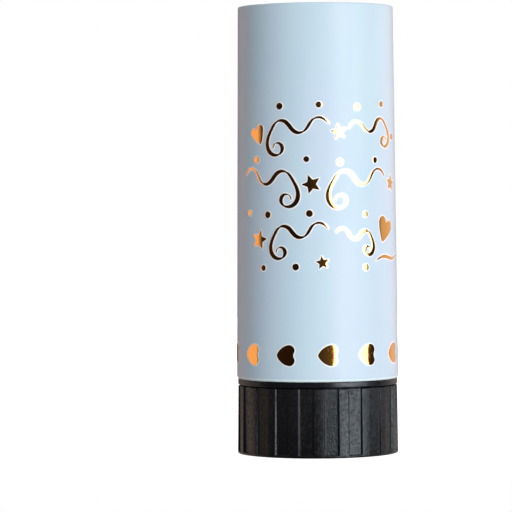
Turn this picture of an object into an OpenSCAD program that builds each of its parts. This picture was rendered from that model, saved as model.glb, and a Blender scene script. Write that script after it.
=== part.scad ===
// Twist-release confetti popper: a foil-printed paper tube on a ribbed plastic twist base.
// Millimetres, +Z up. The origin is the middle of the base's underside and the front faces -Y.
// At rest the spring is cocked: two claws hold the piston cup and the oval key backs the claws.

/* [Tube] */
// Height from the table to the mouth
overall_h = 102.1; // [90:0.1:125]
// Outside diameter of the printed tube at its foot
tube_d = 37; // [34:0.1:44]
// How much narrower the tube is at its mouth
tube_taper = 1.5; // [0:0.1:2]
// Thickness of the paper core at the mouth
core_wall = 1.2; // [0.8:0.05:1.8]
// Thickness of the printed paper
wrap_t = 0.25; // [0.15:0.05:0.4]
// Depth of the printed paper turned in at the mouth
lip_h = 5; // [3:0.5:6]
// Rounding of the core's edges at the mouth
mouth_edge_r = 0.1; // [0.05:0.05:0.35]
// Large radius of the core where its foot rolls in
curl_r = 0.75; // [0.5:0.05:1.5]
// Small radius of the core where its foot turns under
curl_edge_r = 0.15; // [0.1:0.05:0.4]
// How far the printed paper reaches under the foot
tuck_w = 0.8; // [0.3:0.1:1.2]
// Thickness of the inner sleeve
sleeve_t = 1; // [0.7:0.05:1.4]

/* [Foil print] */
// Thickness of the foil
foil_t = 0.08; // [0.05:0.01:0.15]
// Number of hearts in the row
heart_count = 12; // [8:1:16]
// Width across the lobes of a heart in the row
heart_w = 4.8; // [3:0.1:5.5]
// Height of the row's centre above the tube's foot
heart_row_z = 6; // [4:0.1:12]
// Turn of the first heart from the front
heart_phase = 7.1; // [-15:0.1:15]
// Height of the ornament's middle line above the tube's foot
motif_z = 43.4; // [35:0.1:55]
// Distance between the ornament's three lines
motif_pitch = 11.7; // [9:0.1:14]
// Broadest stroke of a streamer
stroke_w = 0.95; // [0.5:0.05:1.3]

/* [Lid] */
// Depth of the lid's face below the mouth
lid_depth = 6.5; // [6:0.1:12]
// Thickness of the lid's card
lid_t = 1.2; // [0.8:0.1:2]
// Thickness of the lid's facing
facing_t = 0.15; // [0.1:0.05:0.3]

/* [Twist grip] */
// Height of the ribbed grip
grip_h = 15.5; // [14.5:0.1:20]
// How far the grip's foot stands inside the tube's outside
grip_inset = 0.1; // [0:0.05:0.4]
// How much the grip narrows on each side from its foot to its top
grip_draft = 0.18; // [0:0.02:0.4]
// Wall of the grip at its top
grip_wall = 2.4; // [1.9:0.1:2.8]
// Number of ribs
rib_count = 20; // [14:1:26]
// Turn of the first rib from the front
rib_turn = 0.7; // [-9:0.1:9]
// Share of each pitch that the recess between two ribs takes
recess_share = 0.57; // [0.4:0.01:0.7]
// Width of a rib's sloping sides
rib_slope_w = 0.26; // [0.1:0.02:0.6]
// Depth of the recesses
recess_depth = 0.45; // [0.2:0.05:0.7]
// Plain band below the recesses
foot_band = 0.55; // [0.3:0.05:1.5]
// Plain band above the recesses
top_band = 0.2; // [0.1:0.05:1]
// Rounding of the grip's lower edge
foot_round = 0.4; // [0.2:0.05:0.5]
// Height of the hollow under the grip's floor
foot_hollow_h = 0.8; // [0.5:0.1:1.5]
// Width of the ring that the popper stands on
foot_ring_w = 3; // [2:0.1:5]
// Thickness of the grip's floor
grip_floor_t = 1.5; // [1.2:0.1:2]

/* [Spring seat] */
// Height of the smooth band between the grip and the tube
collar_h = 1.3; // [0.8:0.1:3]
// How far the band stands inside the tube's outside
collar_inset = 0.25; // [0.1:0.05:0.7]
// Length of the plug inside the tube
plug_h = 12; // [9.5:0.5:16]
// Wall of the spring well
well_wall = 1.6; // [1.2:0.1:2]
// Thickness of the well's floor
seat_floor_t = 1.5; // [1:0.1:2]
// Height of the glue groove round the plug
glue_h = 2.5; // [1:0.5:4]

/* [Release] */
// Angle that the grip turns to fire
twist_deg = 90; // [75:5:95]
// Radius of the oval key across its long axis
key_r = 4; // [3.5:0.1:4.5]
// Thickness of the oval key
key_t = 4.4; // [3.6:0.1:5]
// Thickness of a claw
claw_t = 1.3; // [1:0.1:1.6]
// Width of a claw
claw_w = 5.2; // [4:0.1:6]
// How far a claw's hook reaches past its strip
hook_reach = 1.6; // [1.2:0.1:1.9]
// Height of a claw's hook
hook_h = 2; // [1.5:0.1:2.5]
// Thickness of the claw ring's flange
claw_flange_t = 1.1; // [0.9:0.1:1.2]

/* [Spring and piston] */
// Wire diameter of the spring
wire_d = 1.5; // [1.2:0.1:1.6]
// Turns of the spring
spring_turns = 5; // [3:1:5]
// Height of the piston cup
cup_h = 8.4; // [6:0.1:9.4]
// Wall of the piston cup
cup_wall = 1.2; // [0.9:0.1:1.6]
// Thickness of the cup's web, which the spring pushes and the claws hold
web_t = 1.1; // [0.9:0.1:1.6]
// Thickness of the card wad
wad_t = 1.6; // [1:0.1:3]
// Width of a tissue slip as a share of the charge's diameter
slip_share = 0.68; // [0.5:0.01:0.85]

/* [Clearances] */
// Gap seen between the grip and the smooth band
twist_gap = 0.3; // [0.2:0.05:0.5]
// Radial running fit of the turning pieces
turn_fit = 0.08; // [0.04:0.01:0.1]
// Radial clearance of the sliding pieces
slide_fit = 0.3; // [0.2:0.05:0.4]
// Clearance of the lid inside the turned-in paper
lid_fit = 0.2; // [0.15:0.05:0.3]
// Small clearance where pieces bear on each other
bear_fit = 0.05; // [0.03:0.01:0.1]
// Clearance round pieces that pass each other
pass_fit = 0.3; // [0.2:0.05:0.4]

/* [Hidden] */

$fn = 96;
// Overrun of every cutting shape
cut = 1;
// Angle at which the rolled foot turns from its large to its small radius
curl_turn = 44;
// Steps of each rounded edge
arc_steps = 8;

// Heights that stack up from the table
collar_z = grip_h + twist_gap;
foot_z = collar_z + collar_h;
plug_top_z = foot_z + plug_h;
grip_floor_z = foot_hollow_h + grip_floor_t;
claw_z = grip_floor_z + pass_fit;
seat_floor_z = claw_z + claw_flange_t;
well_z = seat_floor_z + seat_floor_t;
cup_z = foot_z + pass_fit;
web_drop = cup_wall / 2;
web_z = cup_z + web_drop;
hook_z = web_z + web_t + bear_fit;
wad_z = cup_z + cup_h;
slips_z = wad_z + wad_t;
lid_z = overall_h - lid_depth - facing_t - lid_t;
slips_h = lid_z - slips_z - pass_fit;

// Radii of the tube
foot_r = tube_d / 2;
mouth_r = foot_r - tube_taper / 2;
bore_r = mouth_r - wrap_t - core_wall;
sleeve_r = bore_r - sleeve_t;
lip_r = bore_r - wrap_t;
mouth_edge_z = overall_h - wrap_t - mouth_edge_r;
curl_edge_z = foot_z + wrap_t + curl_edge_r;
curl_mid = [
    foot_r - wrap_t - curl_r,
    curl_edge_z + (curl_r - curl_edge_r) * sin(curl_turn)
];
curl_edge_mid = [curl_mid[0] + (curl_r - curl_edge_r) * cos(curl_turn), curl_edge_z];
tuck_r = curl_edge_mid[0] - tuck_w;

// Radii of the base
collar_r = foot_r - collar_inset;
grip_foot_r = foot_r - grip_inset;
grip_top_r = grip_foot_r - grip_draft;
grip_bore_r = grip_top_r - grip_wall;
foot_hollow_r = grip_foot_r - foot_ring_w;
neck_r = grip_bore_r - turn_fit;
well_r = neck_r - well_wall;
cup_r = sleeve_r - slide_fit;
cup_bore_r = cup_r - cup_wall;

// Glue groove in the middle of the plug
glue_depth = sleeve_t / 2;
glue_z = foot_z + (plug_h - glue_h) / 2;

// Snap bead of the grip in the groove of the seat's neck
bead_h = grip_wall / 2;
bead_reach = grip_wall / 5;
bead_z = grip_h - 2 * bead_h;
bead_flat = bead_h / 5;
groove_depth = bead_reach + 2 * turn_fit;

// Claws and the holes that they pass
claw_in_r = key_r + turn_fit;
claw_out_r = claw_in_r + claw_t;
hook_r = claw_out_r + hook_reach;
web_hole_r = claw_out_r + pass_fit;
seat_hole_r = claw_out_r + 2 * pass_fit;
claw_flange_r = hook_r + pass_fit;
hook_tip_h = hook_h / 4;
key_head_r = key_r * 1.5;
key_head_t = grip_floor_t / 2;
key_top_z = hook_z + hook_h;

// Stop lugs on the grip's floor and under the seat
lug_in_r = claw_flange_r + 2 * pass_fit;
lug_out_r = lug_in_r + grip_wall;
lug_deg = 24;
lug_play_deg = 2;
lug_turn = 200;
lug_overlap = (seat_floor_z - grip_floor_z) * 4 / 5;

// Arrow under the grip, which shows the way to turn
arrow_r = (foot_hollow_r + key_head_r) / 2;
arrow_w = (foot_hollow_r - key_head_r) / 6;
arrow_h = foot_hollow_h / 3;
arrow_deg = 110;

// Spring
spring_r = min(well_r, cup_bore_r) - pass_fit - wire_d / 2;
spring_low_z = well_z + wire_d / 2;
spring_high_z = web_z - bear_fit - wire_d / 2;
spring_sides = 8;
spring_steps = 16;

// Charge: five stacks that just fit in a round of charge_r
stack_count = 5;
charge_r = cup_r - pass_fit;
slip_w = 2 * charge_r * slip_share;
stack_t = sqrt(4 * charge_r * charge_r - slip_w * slip_w) / stack_count;
stack_colours = ["hotpink", "gold", "deepskyblue", "limegreen", "mediumorchid"];

// Accent hearts: turn from the front, height in pitches above the middle line, spin, share of heart_w
accent_shares = [
    [-46.1, 1.022, 23, 0.86],
    [57.3, -0.815, -22, 1.15]
];
// Forms of the hearts in shares of their width, their length's middle at 0: radius of a lobe, height
// of the lobes' middles, middle of the right flank's round, half the width of the notch
row_heart_shares = [0.2645, 0.1955, [-0.312, 0.3], 0.06];
accent_heart_shares = [0.24, 0.28, [-1.374, 0.933], 0.025];
// Streamers: turn, height in pitches, length and tilt, mirrored or not, all lengths in stroke widths
streamer_shares = [
    [-14, 1.0, 32, 4, 0],
    [44.5, 1.04, 27, 6, 1],
    [-37, 0.02, 33, -4, 1],
    [33, 0.0, 34, 3, 0],
    [-13, -1.0, 30, 5, 0],
    [29, -1.02, 22, -6, 1]
];
// Wavy line under the right accent heart: turn, height in pitches, length, swing, waves, tilt
underline_share = [62, -1.34, 10, 0.6, 1, 8];
// Stars: turn, height in pitches, radius in stroke widths, spin
star_shares = [
    [16.5, 1.08, 2.0, 10],
    [-3.5, 0.08, 2.4, 20],
    [67, 0.1, 2.1, -8],
    [-45, -0.98, 2.5, -12],
    [4, -1.42, 1.7, 8]
];
// Dots: turn, height in pitches, radius in stroke widths
dot_shares = [
    [-27, 1.58, 0.8],
    [2, 1.6, 0.7],
    [31, 1.56, 0.8],
    [55, 1.62, 0.7],
    [71, 1.0, 0.8],
    [-48, 0.56, 0.8],
    [-7, 0.56, 0.7],
    [17, 0.5, 0.8],
    [47, 0.54, 0.7],
    [-56, -0.46, 0.7],
    [-37, -0.5, 0.8],
    [-5, -0.48, 0.8],
    [37, -0.5, 0.7],
    [-41, -1.52, 0.7],
    [-15, -1.5, 0.8],
    [37, -1.52, 0.8]
];
// Share of a streamer's length that is curled up, how far it curls, how far the rest swings, its waves
curled_share = 0.45;
curl_deg = 400;
swing_deg = 56;
tail_waves = 1.5;
// Angle of the broad pen that draws the strokes, its thinnest stroke as a share of the broadest,
// and the width of a stroke's tip and the part of its length over which it comes to full width
nib_deg = 25;
thin_share = 0.35;
tip_share = 0.25;
tip_run_share = 0.125;

// Outside radius of the tube's straight stretch at height z
function tube_r_at(z) = foot_r + (mouth_r - foot_r) * (z - curl_mid[1]) / (mouth_edge_z - curl_mid[1]);

// Points of an arc round a centre, from one angle to another
function arc_points(centre, r, from, to) = [
    for (i = [0:arc_steps])
        let (a = from + (to - from) * i / arc_steps)
        [centre[0] + r * cos(a), centre[1] + r * sin(a)]
];

// Outline of the printed paper's outside, sunk by a depth, from the foot's tuck to the mouth's inside
function tube_side(depth) =
    let (paper = wrap_t - depth)
    concat(
        [[tuck_r, foot_z + depth]],
        arc_points(curl_edge_mid, curl_edge_r + paper, -90, -curl_turn),
        arc_points(curl_mid, curl_r + paper, -curl_turn, 0),
        arc_points([mouth_r - wrap_t - mouth_edge_r, mouth_edge_z], mouth_edge_r + paper, 0, 90),
        arc_points([bore_r + mouth_edge_r, mouth_edge_z], mouth_edge_r + paper, 90, 180)
    );

function reversed(points) = [for (i = [len(points) - 1:-1:0]) points[i]];

// Centre points of the spring's wire
function spring_point(i) =
    let (a = 360 * i / spring_steps)
    let (rise = (spring_high_z - spring_low_z) * i / (spring_turns * spring_steps))
    [spring_r * cos(a), spring_r * sin(a), spring_low_z + rise];

// Ring of wire points round centre point i
function spring_ring(i) =
    let (a = 360 * i / spring_steps)
    [
        for (k = [0:spring_sides - 1])
            let (b = 360 * k / spring_sides)
            let (r = spring_r + wire_d / 2 * cos(b))
            [r * cos(a), r * sin(a), spring_point(i)[2] + wire_d / 2 * sin(b)]
    ];

// Kraft core of the tube, rounded at the mouth and under the foot
module paper_tube() {
    core_side = tube_side(wrap_t);
    color("burlywood")
        rotate_extrude()
            polygon(concat([[bore_r, foot_z + wrap_t]], core_side));
}

// Printed paper: round the core, over the mouth and down inside it, and under the foot
module printed_wrap() {
    outside = concat(tube_side(0), [[lip_r, overall_h - lip_h]]);
    inside = concat(tube_side(wrap_t), [[bore_r, overall_h - lip_h]]);
    color("lightblue")
        rotate_extrude()
            polygon(concat(outside, reversed(inside)));
}

// Thin shell on the tube's straight stretch, from which the foil is cut
module foil_shell() {
    straight_h = mouth_edge_z - curl_mid[1];
    translate([0, 0, curl_mid[1]])
        difference() {
            cylinder(h = straight_h, r1 = foot_r + foil_t, r2 = mouth_r + foil_t);
            cylinder(h = straight_h, r1 = foot_r, r2 = mouth_r);
        }
}

// Carries a flat shape to the tube's wall, turned from the front and raised
module on_tube(turn, z) {
    wall_r = tube_r_at(z) - cut;
    rotate([0, 0, turn])
        translate([0, -wall_r, z])
            rotate([90, 0, 0])
                linear_extrude(height = 2 * cut + foil_t)
                    children();
}

// Right half of a heart 1 wide, from its tip to its notch: a flank's round, then a lobe's
function heart_half(shares, flank_steps = 6, lobe_steps = 8) =
    let (lobe_r = shares[0])
    let (lobe = [0.5 - lobe_r, shares[1]])
    let (way = lobe - shares[2])
    let (flank_r = norm(way) + lobe_r)
    let (tip = -acos(-shares[2][0] / flank_r))
    let (joint = atan2(way[1], way[0]))
    let (notch = acos((shares[3] - lobe[0]) / lobe_r))
    let (flank_angles = [for (i = [0:flank_steps]) tip + (joint - tip) * i / flank_steps])
    let (lobe_angles = [for (i = [1:lobe_steps]) joint + (notch - joint) * i / lobe_steps])
    concat(
        [for (a = flank_angles) shares[2] + flank_r * [cos(a), sin(a)]],
        [for (a = lobe_angles) lobe + lobe_r * [cos(a), sin(a)]]
    );

// Heart, w across its lobes, its tip downwards
module heart(w, shares) {
    half = heart_half(shares);
    other = [for (i = [len(half) - 1:-1:1]) [-half[i][0], half[i][1]]];
    polygon(w * concat(half, other));
}

// Star with five points
module star(r, inner_share = 0.45) {
    polygon([
        for (i = [0:9])
            let (q = i % 2 == 0 ? r : r * inner_share)
            [q * sin(36 * i), q * cos(36 * i)]
    ]);
}

// Heading of a streamer at share u of its length: a curl that opens out, then a wavy tail
function streamer_heading(u) =
    u < curled_share
    ? swing_deg + curl_deg * pow(1 - u / curled_share, 2)
    : swing_deg * cos(360 * tail_waves * (u - curled_share) / (1 - curled_share));

function streamer_way(u) = [cos(streamer_heading(u)), sin(streamer_heading(u))];

// Points of a streamer of a given length, centred on its own box
function streamer_points(length, steps = 48) =
    let (pace = length / steps)
    let (points = [for (i = 0, p = [0, 0]; i <= steps; i = i + 1, p = p + pace * streamer_way(i / steps)) p])
    let (low = [min([for (p = points) p[0]]), min([for (p = points) p[1]])])
    let (high = [max([for (p = points) p[0]]), max([for (p = points) p[1]])])
    [for (p = points) p - (low + high) / 2];

// Ribbon along a row of points, drawn with a broad pen and pointed at both ends
module ribbon(points, w) {
    last = len(points) - 1;
    headings = [
        for (i = [0:last])
            let (a = points[max(i - 1, 0)])
            let (b = points[min(i + 1, last)])
            atan2(b[1] - a[1], b[0] - a[0])
    ];
    halves = [
        for (i = [0:last])
            let (nib = thin_share + (1 - thin_share) * abs(sin(headings[i] - nib_deg)))
            let (taper = min(1, tip_share + (1 - tip_share) * min(i, last - i) / (last * tip_run_share)))
            w / 2 * nib * taper
    ];
    left = [for (i = [0:last]) points[i] + halves[i] * [-sin(headings[i]), cos(headings[i])]];
    right = [for (i = [0:last]) points[i] - halves[i] * [-sin(headings[i]), cos(headings[i])]];
    polygon(concat(left, reversed(right)));
}

// Streamer with a curled end, mirrored where flip is 1
module streamer(length, flip) {
    mirror([flip, 0])
        ribbon(streamer_points(length), stroke_w);
}

// Plain wavy line
module wavy_line(length, swing, waves) {
    steps = 16;
    points = [for (i = [0:steps]) [length * (i / steps - 0.5), swing * sin(360 * waves * i / steps)]];
    ribbon(points, stroke_w);
}

// Row of hearts round the tube's foot, their tips to the left
module foil_hearts() {
    color("goldenrod")
        intersection() {
            foil_shell();
            union() {
                for (i = [0:heart_count - 1])
                    on_tube(heart_phase + 360 * i / heart_count, foot_z + heart_row_z)
                        rotate([0, 0, -90])
                            heart(heart_w, row_heart_shares);
            }
        }
}

// Streamers, stars and dots on the front, with two accent hearts
module foil_motif() {
    middle_z = foot_z + motif_z;
    color("goldenrod")
        intersection() {
            foil_shell();
            union() {
                for (p = accent_shares)
                    on_tube(p[0], middle_z + p[1] * motif_pitch)
                        rotate([0, 0, p[2]])
                            heart(p[3] * heart_w, accent_heart_shares);
                for (p = streamer_shares)
                    on_tube(p[0], middle_z + p[1] * motif_pitch)
                        rotate([0, 0, p[3]])
                            streamer(p[2] * stroke_w, p[4]);
                on_tube(underline_share[0], middle_z + underline_share[1] * motif_pitch)
                    rotate([0, 0, underline_share[5]])
                        wavy_line(
                            underline_share[2] * stroke_w,
                            underline_share[3] * stroke_w,
                            underline_share[4]
                        );
                for (p = star_shares)
                    on_tube(p[0], middle_z + p[1] * motif_pitch)
                        rotate([0, 0, p[3]])
                            star(p[2] * stroke_w);
                for (p = dot_shares)
                    on_tube(p[0], middle_z + p[1] * motif_pitch)
                        circle(r = p[2] * stroke_w);
            }
        }
}

// Liner that guides the piston and carries the lid
module inner_sleeve() {
    color("antiquewhite")
        translate([0, 0, plug_top_z])
            difference() {
                cylinder(h = lid_z - plug_top_z, r = bore_r);
                translate([0, 0, -cut])
                    cylinder(h = lid_z - plug_top_z + 2 * cut, r = sleeve_r);
            }
}

// Ring sector that stands on height z
module lug(turn, z, h) {
    translate([0, 0, z])
        rotate([0, 0, turn])
            rotate_extrude(angle = lug_deg)
                translate([lug_in_r, 0])
                    square([lug_out_r - lug_in_r, h]);
}

// Plug in the tube's foot: spring well, neck for the grip, smooth band and glued sleeve
module spring_seat() {
    groove_r = neck_r - groove_depth;
    groove_z = bead_z - bear_fit;
    groove_h = bead_h + 2 * bear_fit;
    color("black") {
        rotate_extrude()
            polygon([
                [seat_hole_r, seat_floor_z],
                [neck_r, seat_floor_z],
                [neck_r, groove_z],
                [groove_r, groove_z],
                [groove_r, groove_z + groove_h],
                [neck_r, groove_z + groove_h],
                [neck_r, collar_z],
                [collar_r, collar_z],
                [collar_r, foot_z],
                [bore_r, foot_z],
                [bore_r, glue_z],
                [bore_r - glue_depth, glue_z],
                [bore_r - glue_depth, glue_z + glue_h],
                [bore_r, glue_z + glue_h],
                [bore_r, plug_top_z],
                [sleeve_r, plug_top_z],
                [sleeve_r, foot_z],
                [well_r, foot_z],
                [well_r, well_z],
                [seat_hole_r, well_z]
            ]);
        for (turn = [-lug_deg - lug_play_deg, twist_deg + lug_deg + lug_play_deg])
            lug(lug_turn + turn, seat_floor_z - lug_overlap, lug_overlap);
    }
}

// Ring of hot-melt glue that holds the plug in the tube
module glue_bead() {
    color("ivory")
        translate([0, 0, glue_z])
            difference() {
                cylinder(h = glue_h, r = bore_r);
                translate([0, 0, -cut])
                    cylinder(h = glue_h + 2 * cut, r = bore_r - glue_depth);
            }
}

// Ring under the seat's floor with two claws that stand up through it and hook the piston cup
module catch_claws() {
    tip_z = hook_z + hook_h;
    color("whitesmoke") {
        translate([0, 0, claw_z])
            difference() {
                cylinder(h = claw_flange_t, r = claw_flange_r);
                translate([0, 0, -cut])
                    cylinder(h = claw_flange_t + 2 * cut, r = claw_in_r);
            }
        intersection() {
            rotate_extrude()
                polygon([
                    [claw_in_r, claw_z],
                    [claw_out_r, claw_z],
                    [claw_out_r, hook_z],
                    [hook_r, hook_z],
                    [hook_r, hook_z + hook_tip_h],
                    [claw_out_r, tip_z],
                    [claw_in_r, tip_z]
                ]);
            translate([-hook_r - cut, -claw_w / 2, claw_z])
                cube([2 * (hook_r + cut), claw_w, tip_z - claw_z]);
        }
    }
}

// Compressed coil spring, one unbroken tube of wire
module main_spring() {
    rings = spring_turns * spring_steps;
    points = [for (i = [0:rings]) each spring_ring(i)];
    sides = [
        for (i = [0:rings - 1])
            for (k = [0:spring_sides - 1])
                let (next = (k + 1) % spring_sides)
                let (a = i * spring_sides)
                let (b = a + spring_sides)
                each [[a + k, b + next, a + next], [a + k, b + k, b + next]]
    ];
    low_cap = [for (k = [1:spring_sides - 2]) [0, k, k + 1]];
    high_cap = [for (k = [1:spring_sides - 2]) rings * spring_sides * [1, 1, 1] + [0, k + 1, k]];
    gaps = [
        for (i = [0:rings])
            for (j = [i + spring_steps / 2:rings])
                norm(spring_point(i) - spring_point(j)) - wire_d
    ];
    echo(spring_least_gap = min(gaps));
    color("silver")
        polyhedron(points = points, faces = concat(sides, low_cap, high_cap));
}

// Ribbed cup that is turned by hand
module twist_grip() {
    color([0.1, 0.1, 0.11]) {
        difference() {
            rotate_extrude()
                polygon(concat(
                    [[0, foot_hollow_h], [foot_hollow_r, foot_hollow_h], [foot_hollow_r, 0]],
                    arc_points([grip_foot_r - foot_round, foot_round], foot_round, -90, 0),
                    [
                        [grip_top_r, grip_h - top_band / 2],
                        [grip_top_r - top_band / 2, grip_h],
                        [grip_bore_r, grip_h],
                        [grip_bore_r, bead_z + bead_h],
                        [grip_bore_r - bead_reach, bead_z + (bead_h + bead_flat) / 2],
                        [grip_bore_r - bead_reach, bead_z + (bead_h - bead_flat) / 2],
                        [grip_bore_r, bead_z],
                        [grip_bore_r, grip_floor_z],
                        [0, grip_floor_z]
                    ]
                ));
            for (i = [0:rib_count - 1])
                rotate([0, 0, rib_turn + 360 * (i + 0.5) / rib_count])
                    grip_recess();
            translate([0, 0, foot_hollow_h - cut])
                key_section(grip_floor_t + 2 * cut, 0);
            translate([0, 0, foot_hollow_h - cut])
                cylinder(h = key_head_t + cut, r = key_head_r);
        }
        lug(lug_turn, grip_floor_z, lug_overlap);
        turn_arrow();
    }
}

// Recess between two ribs, at the front, with sloping sides
module grip_recess() {
    floor_r = grip_top_r - recess_depth + grip_draft / 2;
    pitch_w = 2 * PI * grip_top_r / rib_count;
    floor_w = pitch_w * recess_share - rib_slope_w;
    open_w = floor_w + 2 * rib_slope_w * (1 + cut / recess_depth);
    translate([0, 0, foot_band])
        linear_extrude(height = grip_h - foot_band - top_band)
            polygon([
                [-floor_w / 2, -floor_r],
                [floor_w / 2, -floor_r],
                [open_w / 2, -floor_r - recess_depth - cut],
                [-open_w / 2, -floor_r - recess_depth - cut]
            ]);
}

// Raised curved arrow in the hollow under the grip
module turn_arrow() {
    translate([0, 0, foot_hollow_h - arrow_h])
        linear_extrude(height = arrow_h) {
            intersection() {
                difference() {
                    circle(r = arrow_r + arrow_w / 2);
                    circle(r = arrow_r - arrow_w / 2);
                }
                polygon([
                    [0, 0],
                    [2 * arrow_r, 0],
                    [2 * arrow_r, 2 * arrow_r],
                    2 * arrow_r * [cos(arrow_deg), sin(arrow_deg)]
                ]);
            }
            translate([arrow_r, 0])
                polygon([[-1.5 * arrow_w, 0], [1.5 * arrow_w, 0], [0, -2.5 * arrow_w]]);
        }
}

// Oval bar: a round of key_r with two flats
module key_section(h, fit) {
    intersection() {
        cylinder(h = h, r = key_r + fit);
        translate([-key_r - cut, -key_t / 2 - fit, 0])
            cube([2 * (key_r + cut), key_t + 2 * fit, h]);
    }
}

// Oval post with a round head, pushed through the grip's floor from below
module release_key() {
    color("dimgray") {
        translate([0, 0, foot_hollow_h])
            cylinder(h = key_head_t, r = key_head_r);
        translate([0, 0, foot_hollow_h])
            key_section(key_top_z - foot_hollow_h, 0);
    }
}

// Cup that the spring throws up, with a hole in its web for the claws
module piston_cup() {
    color("white")
        rotate_extrude()
            polygon([
                [cup_r, cup_z],
                [cup_r, cup_z + cup_h],
                [cup_bore_r, cup_z + cup_h],
                [cup_bore_r, web_z + web_t],
                [web_hole_r, web_z + web_t],
                [web_hole_r, web_z],
                [cup_bore_r, web_z],
                [cup_bore_r, cup_z]
            ]);
}

// Card wad on the cup
module wad_disc() {
    color("tan")
        translate([0, 0, wad_z])
            cylinder(h = wad_t, r = cup_r);
}

// One upright stack of tissue slips, counted from the front
module slip_stack(i) {
    color(stack_colours[i])
        translate([-slip_w / 2, (i - stack_count / 2) * stack_t, slips_z])
            cube([slip_w, stack_t, slips_h]);
}

// Card disc in the mouth, on the sleeve's top edge
module mouth_lid() {
    color("tan")
        translate([0, 0, lid_z])
            cylinder(h = lid_t, r = lip_r - lid_fit);
}

// Foil paper on the lid
module lid_facing() {
    color("gold")
        translate([0, 0, lid_z + lid_t])
            cylinder(h = facing_t, r = lip_r - lid_fit);
}

paper_tube();
printed_wrap();
foil_hearts();
foil_motif();
inner_sleeve();
spring_seat();
glue_bead();
catch_claws();
main_spring();
twist_grip();
release_key();
piston_cup();
wad_disc();
slip_stack(0);  // slips_pink
slip_stack(1);  // slips_yellow
slip_stack(2);  // slips_blue
slip_stack(3);  // slips_green
slip_stack(4);  // slips_violet
mouth_lid();
lid_facing();
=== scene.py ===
"""Looks of a twist-release confetti popper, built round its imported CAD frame.

Lengths here are millimetres, as in the part's source, until piece() makes them metres.
A turn is an angle round the tube in degrees, from the front (-Y) towards +X.
"""

import bmesh
import bpy
import numpy as np
from mathutils import Matrix, Vector

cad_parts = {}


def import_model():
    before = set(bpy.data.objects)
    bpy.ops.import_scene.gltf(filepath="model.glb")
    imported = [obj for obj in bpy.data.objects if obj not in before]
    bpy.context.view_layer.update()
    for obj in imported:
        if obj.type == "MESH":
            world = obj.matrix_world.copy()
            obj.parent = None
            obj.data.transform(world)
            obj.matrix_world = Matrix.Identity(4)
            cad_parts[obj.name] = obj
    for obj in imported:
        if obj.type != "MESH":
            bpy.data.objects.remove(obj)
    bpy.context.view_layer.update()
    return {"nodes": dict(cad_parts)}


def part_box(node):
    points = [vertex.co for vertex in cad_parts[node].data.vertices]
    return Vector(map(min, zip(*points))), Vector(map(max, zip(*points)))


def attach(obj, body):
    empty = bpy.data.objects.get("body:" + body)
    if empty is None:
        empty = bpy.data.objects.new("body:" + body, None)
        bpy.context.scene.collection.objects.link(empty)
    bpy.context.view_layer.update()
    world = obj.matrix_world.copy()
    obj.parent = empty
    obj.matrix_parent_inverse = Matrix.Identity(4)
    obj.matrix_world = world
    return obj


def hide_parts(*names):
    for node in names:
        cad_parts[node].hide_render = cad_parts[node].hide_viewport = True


MM = 0.001

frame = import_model()


def reach(node):
    """Lowest and highest corner of a CAD node, in millimetres."""
    return [np.array(corner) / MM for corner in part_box(node)]


# Corners of the nodes that the sizes below are worked out from
wrap_low, wrap_high = reach("printed_wrap")
glue_low, glue_high = reach("glue_bead")
key_low, key_high = reach("release_key")
spring_low, spring_high = reach("main_spring")
lid_low, lid_high = reach("mouth_lid")
facing_low, facing_high = reach("lid_facing")
hearts_low, hearts_high = reach("foil_hearts")
core_low = reach("paper_tube")[0]
sleeve_high = reach("inner_sleeve")[1]
seat_high = reach("spring_seat")[1]
grip_high = reach("twist_grip")[1]

# Printed tube
TUBE_TOP_Z = wrap_high[2]
FOOT_Z = wrap_low[2]
FOOT_R = wrap_high[0]
WRAP_T = core_low[2] - wrap_low[2]
BORE_R = sleeve_high[0]
MOUTH_WALL = 1.45
MOUTH_R = BORE_R + MOUTH_WALL
LIP_H = 5.0
LIP_R = BORE_R - WRAP_T
MOUTH_EDGE_R = 0.3
CURL_R = 1.0
CURL_EDGE_R = 0.4
CURL_TURN = 44.0
TUCK_W = 0.8
CURL_Z = FOOT_Z + CURL_EDGE_R + (CURL_R - CURL_EDGE_R) * np.sin(np.radians(CURL_TURN))
CURL_EDGE_MID_R = FOOT_R - CURL_R + (CURL_R - CURL_EDGE_R) * np.cos(np.radians(CURL_TURN))

# Points along the printed paper's outside and lining and round them, in millimetres and in number
WRAP_STEP = 2.2
LINING_STEP = 6.0
WRAP_TURNS = 420

# Lap of the printed paper at the back, between two hearts of the row, and the paper's ripple
LAP_TURN = 175.5
LAP_DEG = 10.0
LAP_FADE_DEG = 1.5
LAP_STEP = 0.1
LAP_GAP_DEG = 0.05
RIPPLE = 0.01

# Painted highlight: a pale cyan band where the paper turns under the foot, standing in for the
# floor light that the turn catches
FOOT_HIGHLIGHT_H = 0.62
FOOT_HIGHLIGHT_BLUR = 0.06

# Twist grip
GRIP_H = grip_high[2]
GRIP_FOOT_R = grip_high[0]
GRIP_DRAFT = 0.18
GRIP_TOP_R = GRIP_FOOT_R - GRIP_DRAFT
GRIP_WALL = 2.4
GRIP_BORE_R = GRIP_TOP_R - GRIP_WALL
GRIP_FLOOR_Z = 2.3
RIBS = 20
RIB_SHARE = 0.43
RIB_SLOPE = 0.26
RIB_TURN = 0.7
RIB_SOFT_SHARE = 0.22
RIB_MIDDLE_HALF = 0.35
RECESS_FLOOR_R = 17.86
RECESS_RUN_OUT = 0.12
RUN_OUT_SOFT_SHARE = 0.3
RECESS_OVERRUN = 0.2
FOOT_BAND = 0.55
SIDE_LOW_Z = 1.5
SIDE_HIGH_Z = 14.2
SIDE_T = 0.23
RIM_H = 0.3
STAND_W = 3.0
FOOT_HOLLOW_R = GRIP_FOOT_R - STAND_W
FOOT_HOLLOW_H = key_low[2]
KEY_R = 4.0
KEY_T = 4.4
KEY_HEAD_R = key_high[0]
KEY_HEAD_T = 0.75
BEAD_Z = 13.1
BEAD_H = 1.2
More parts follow.
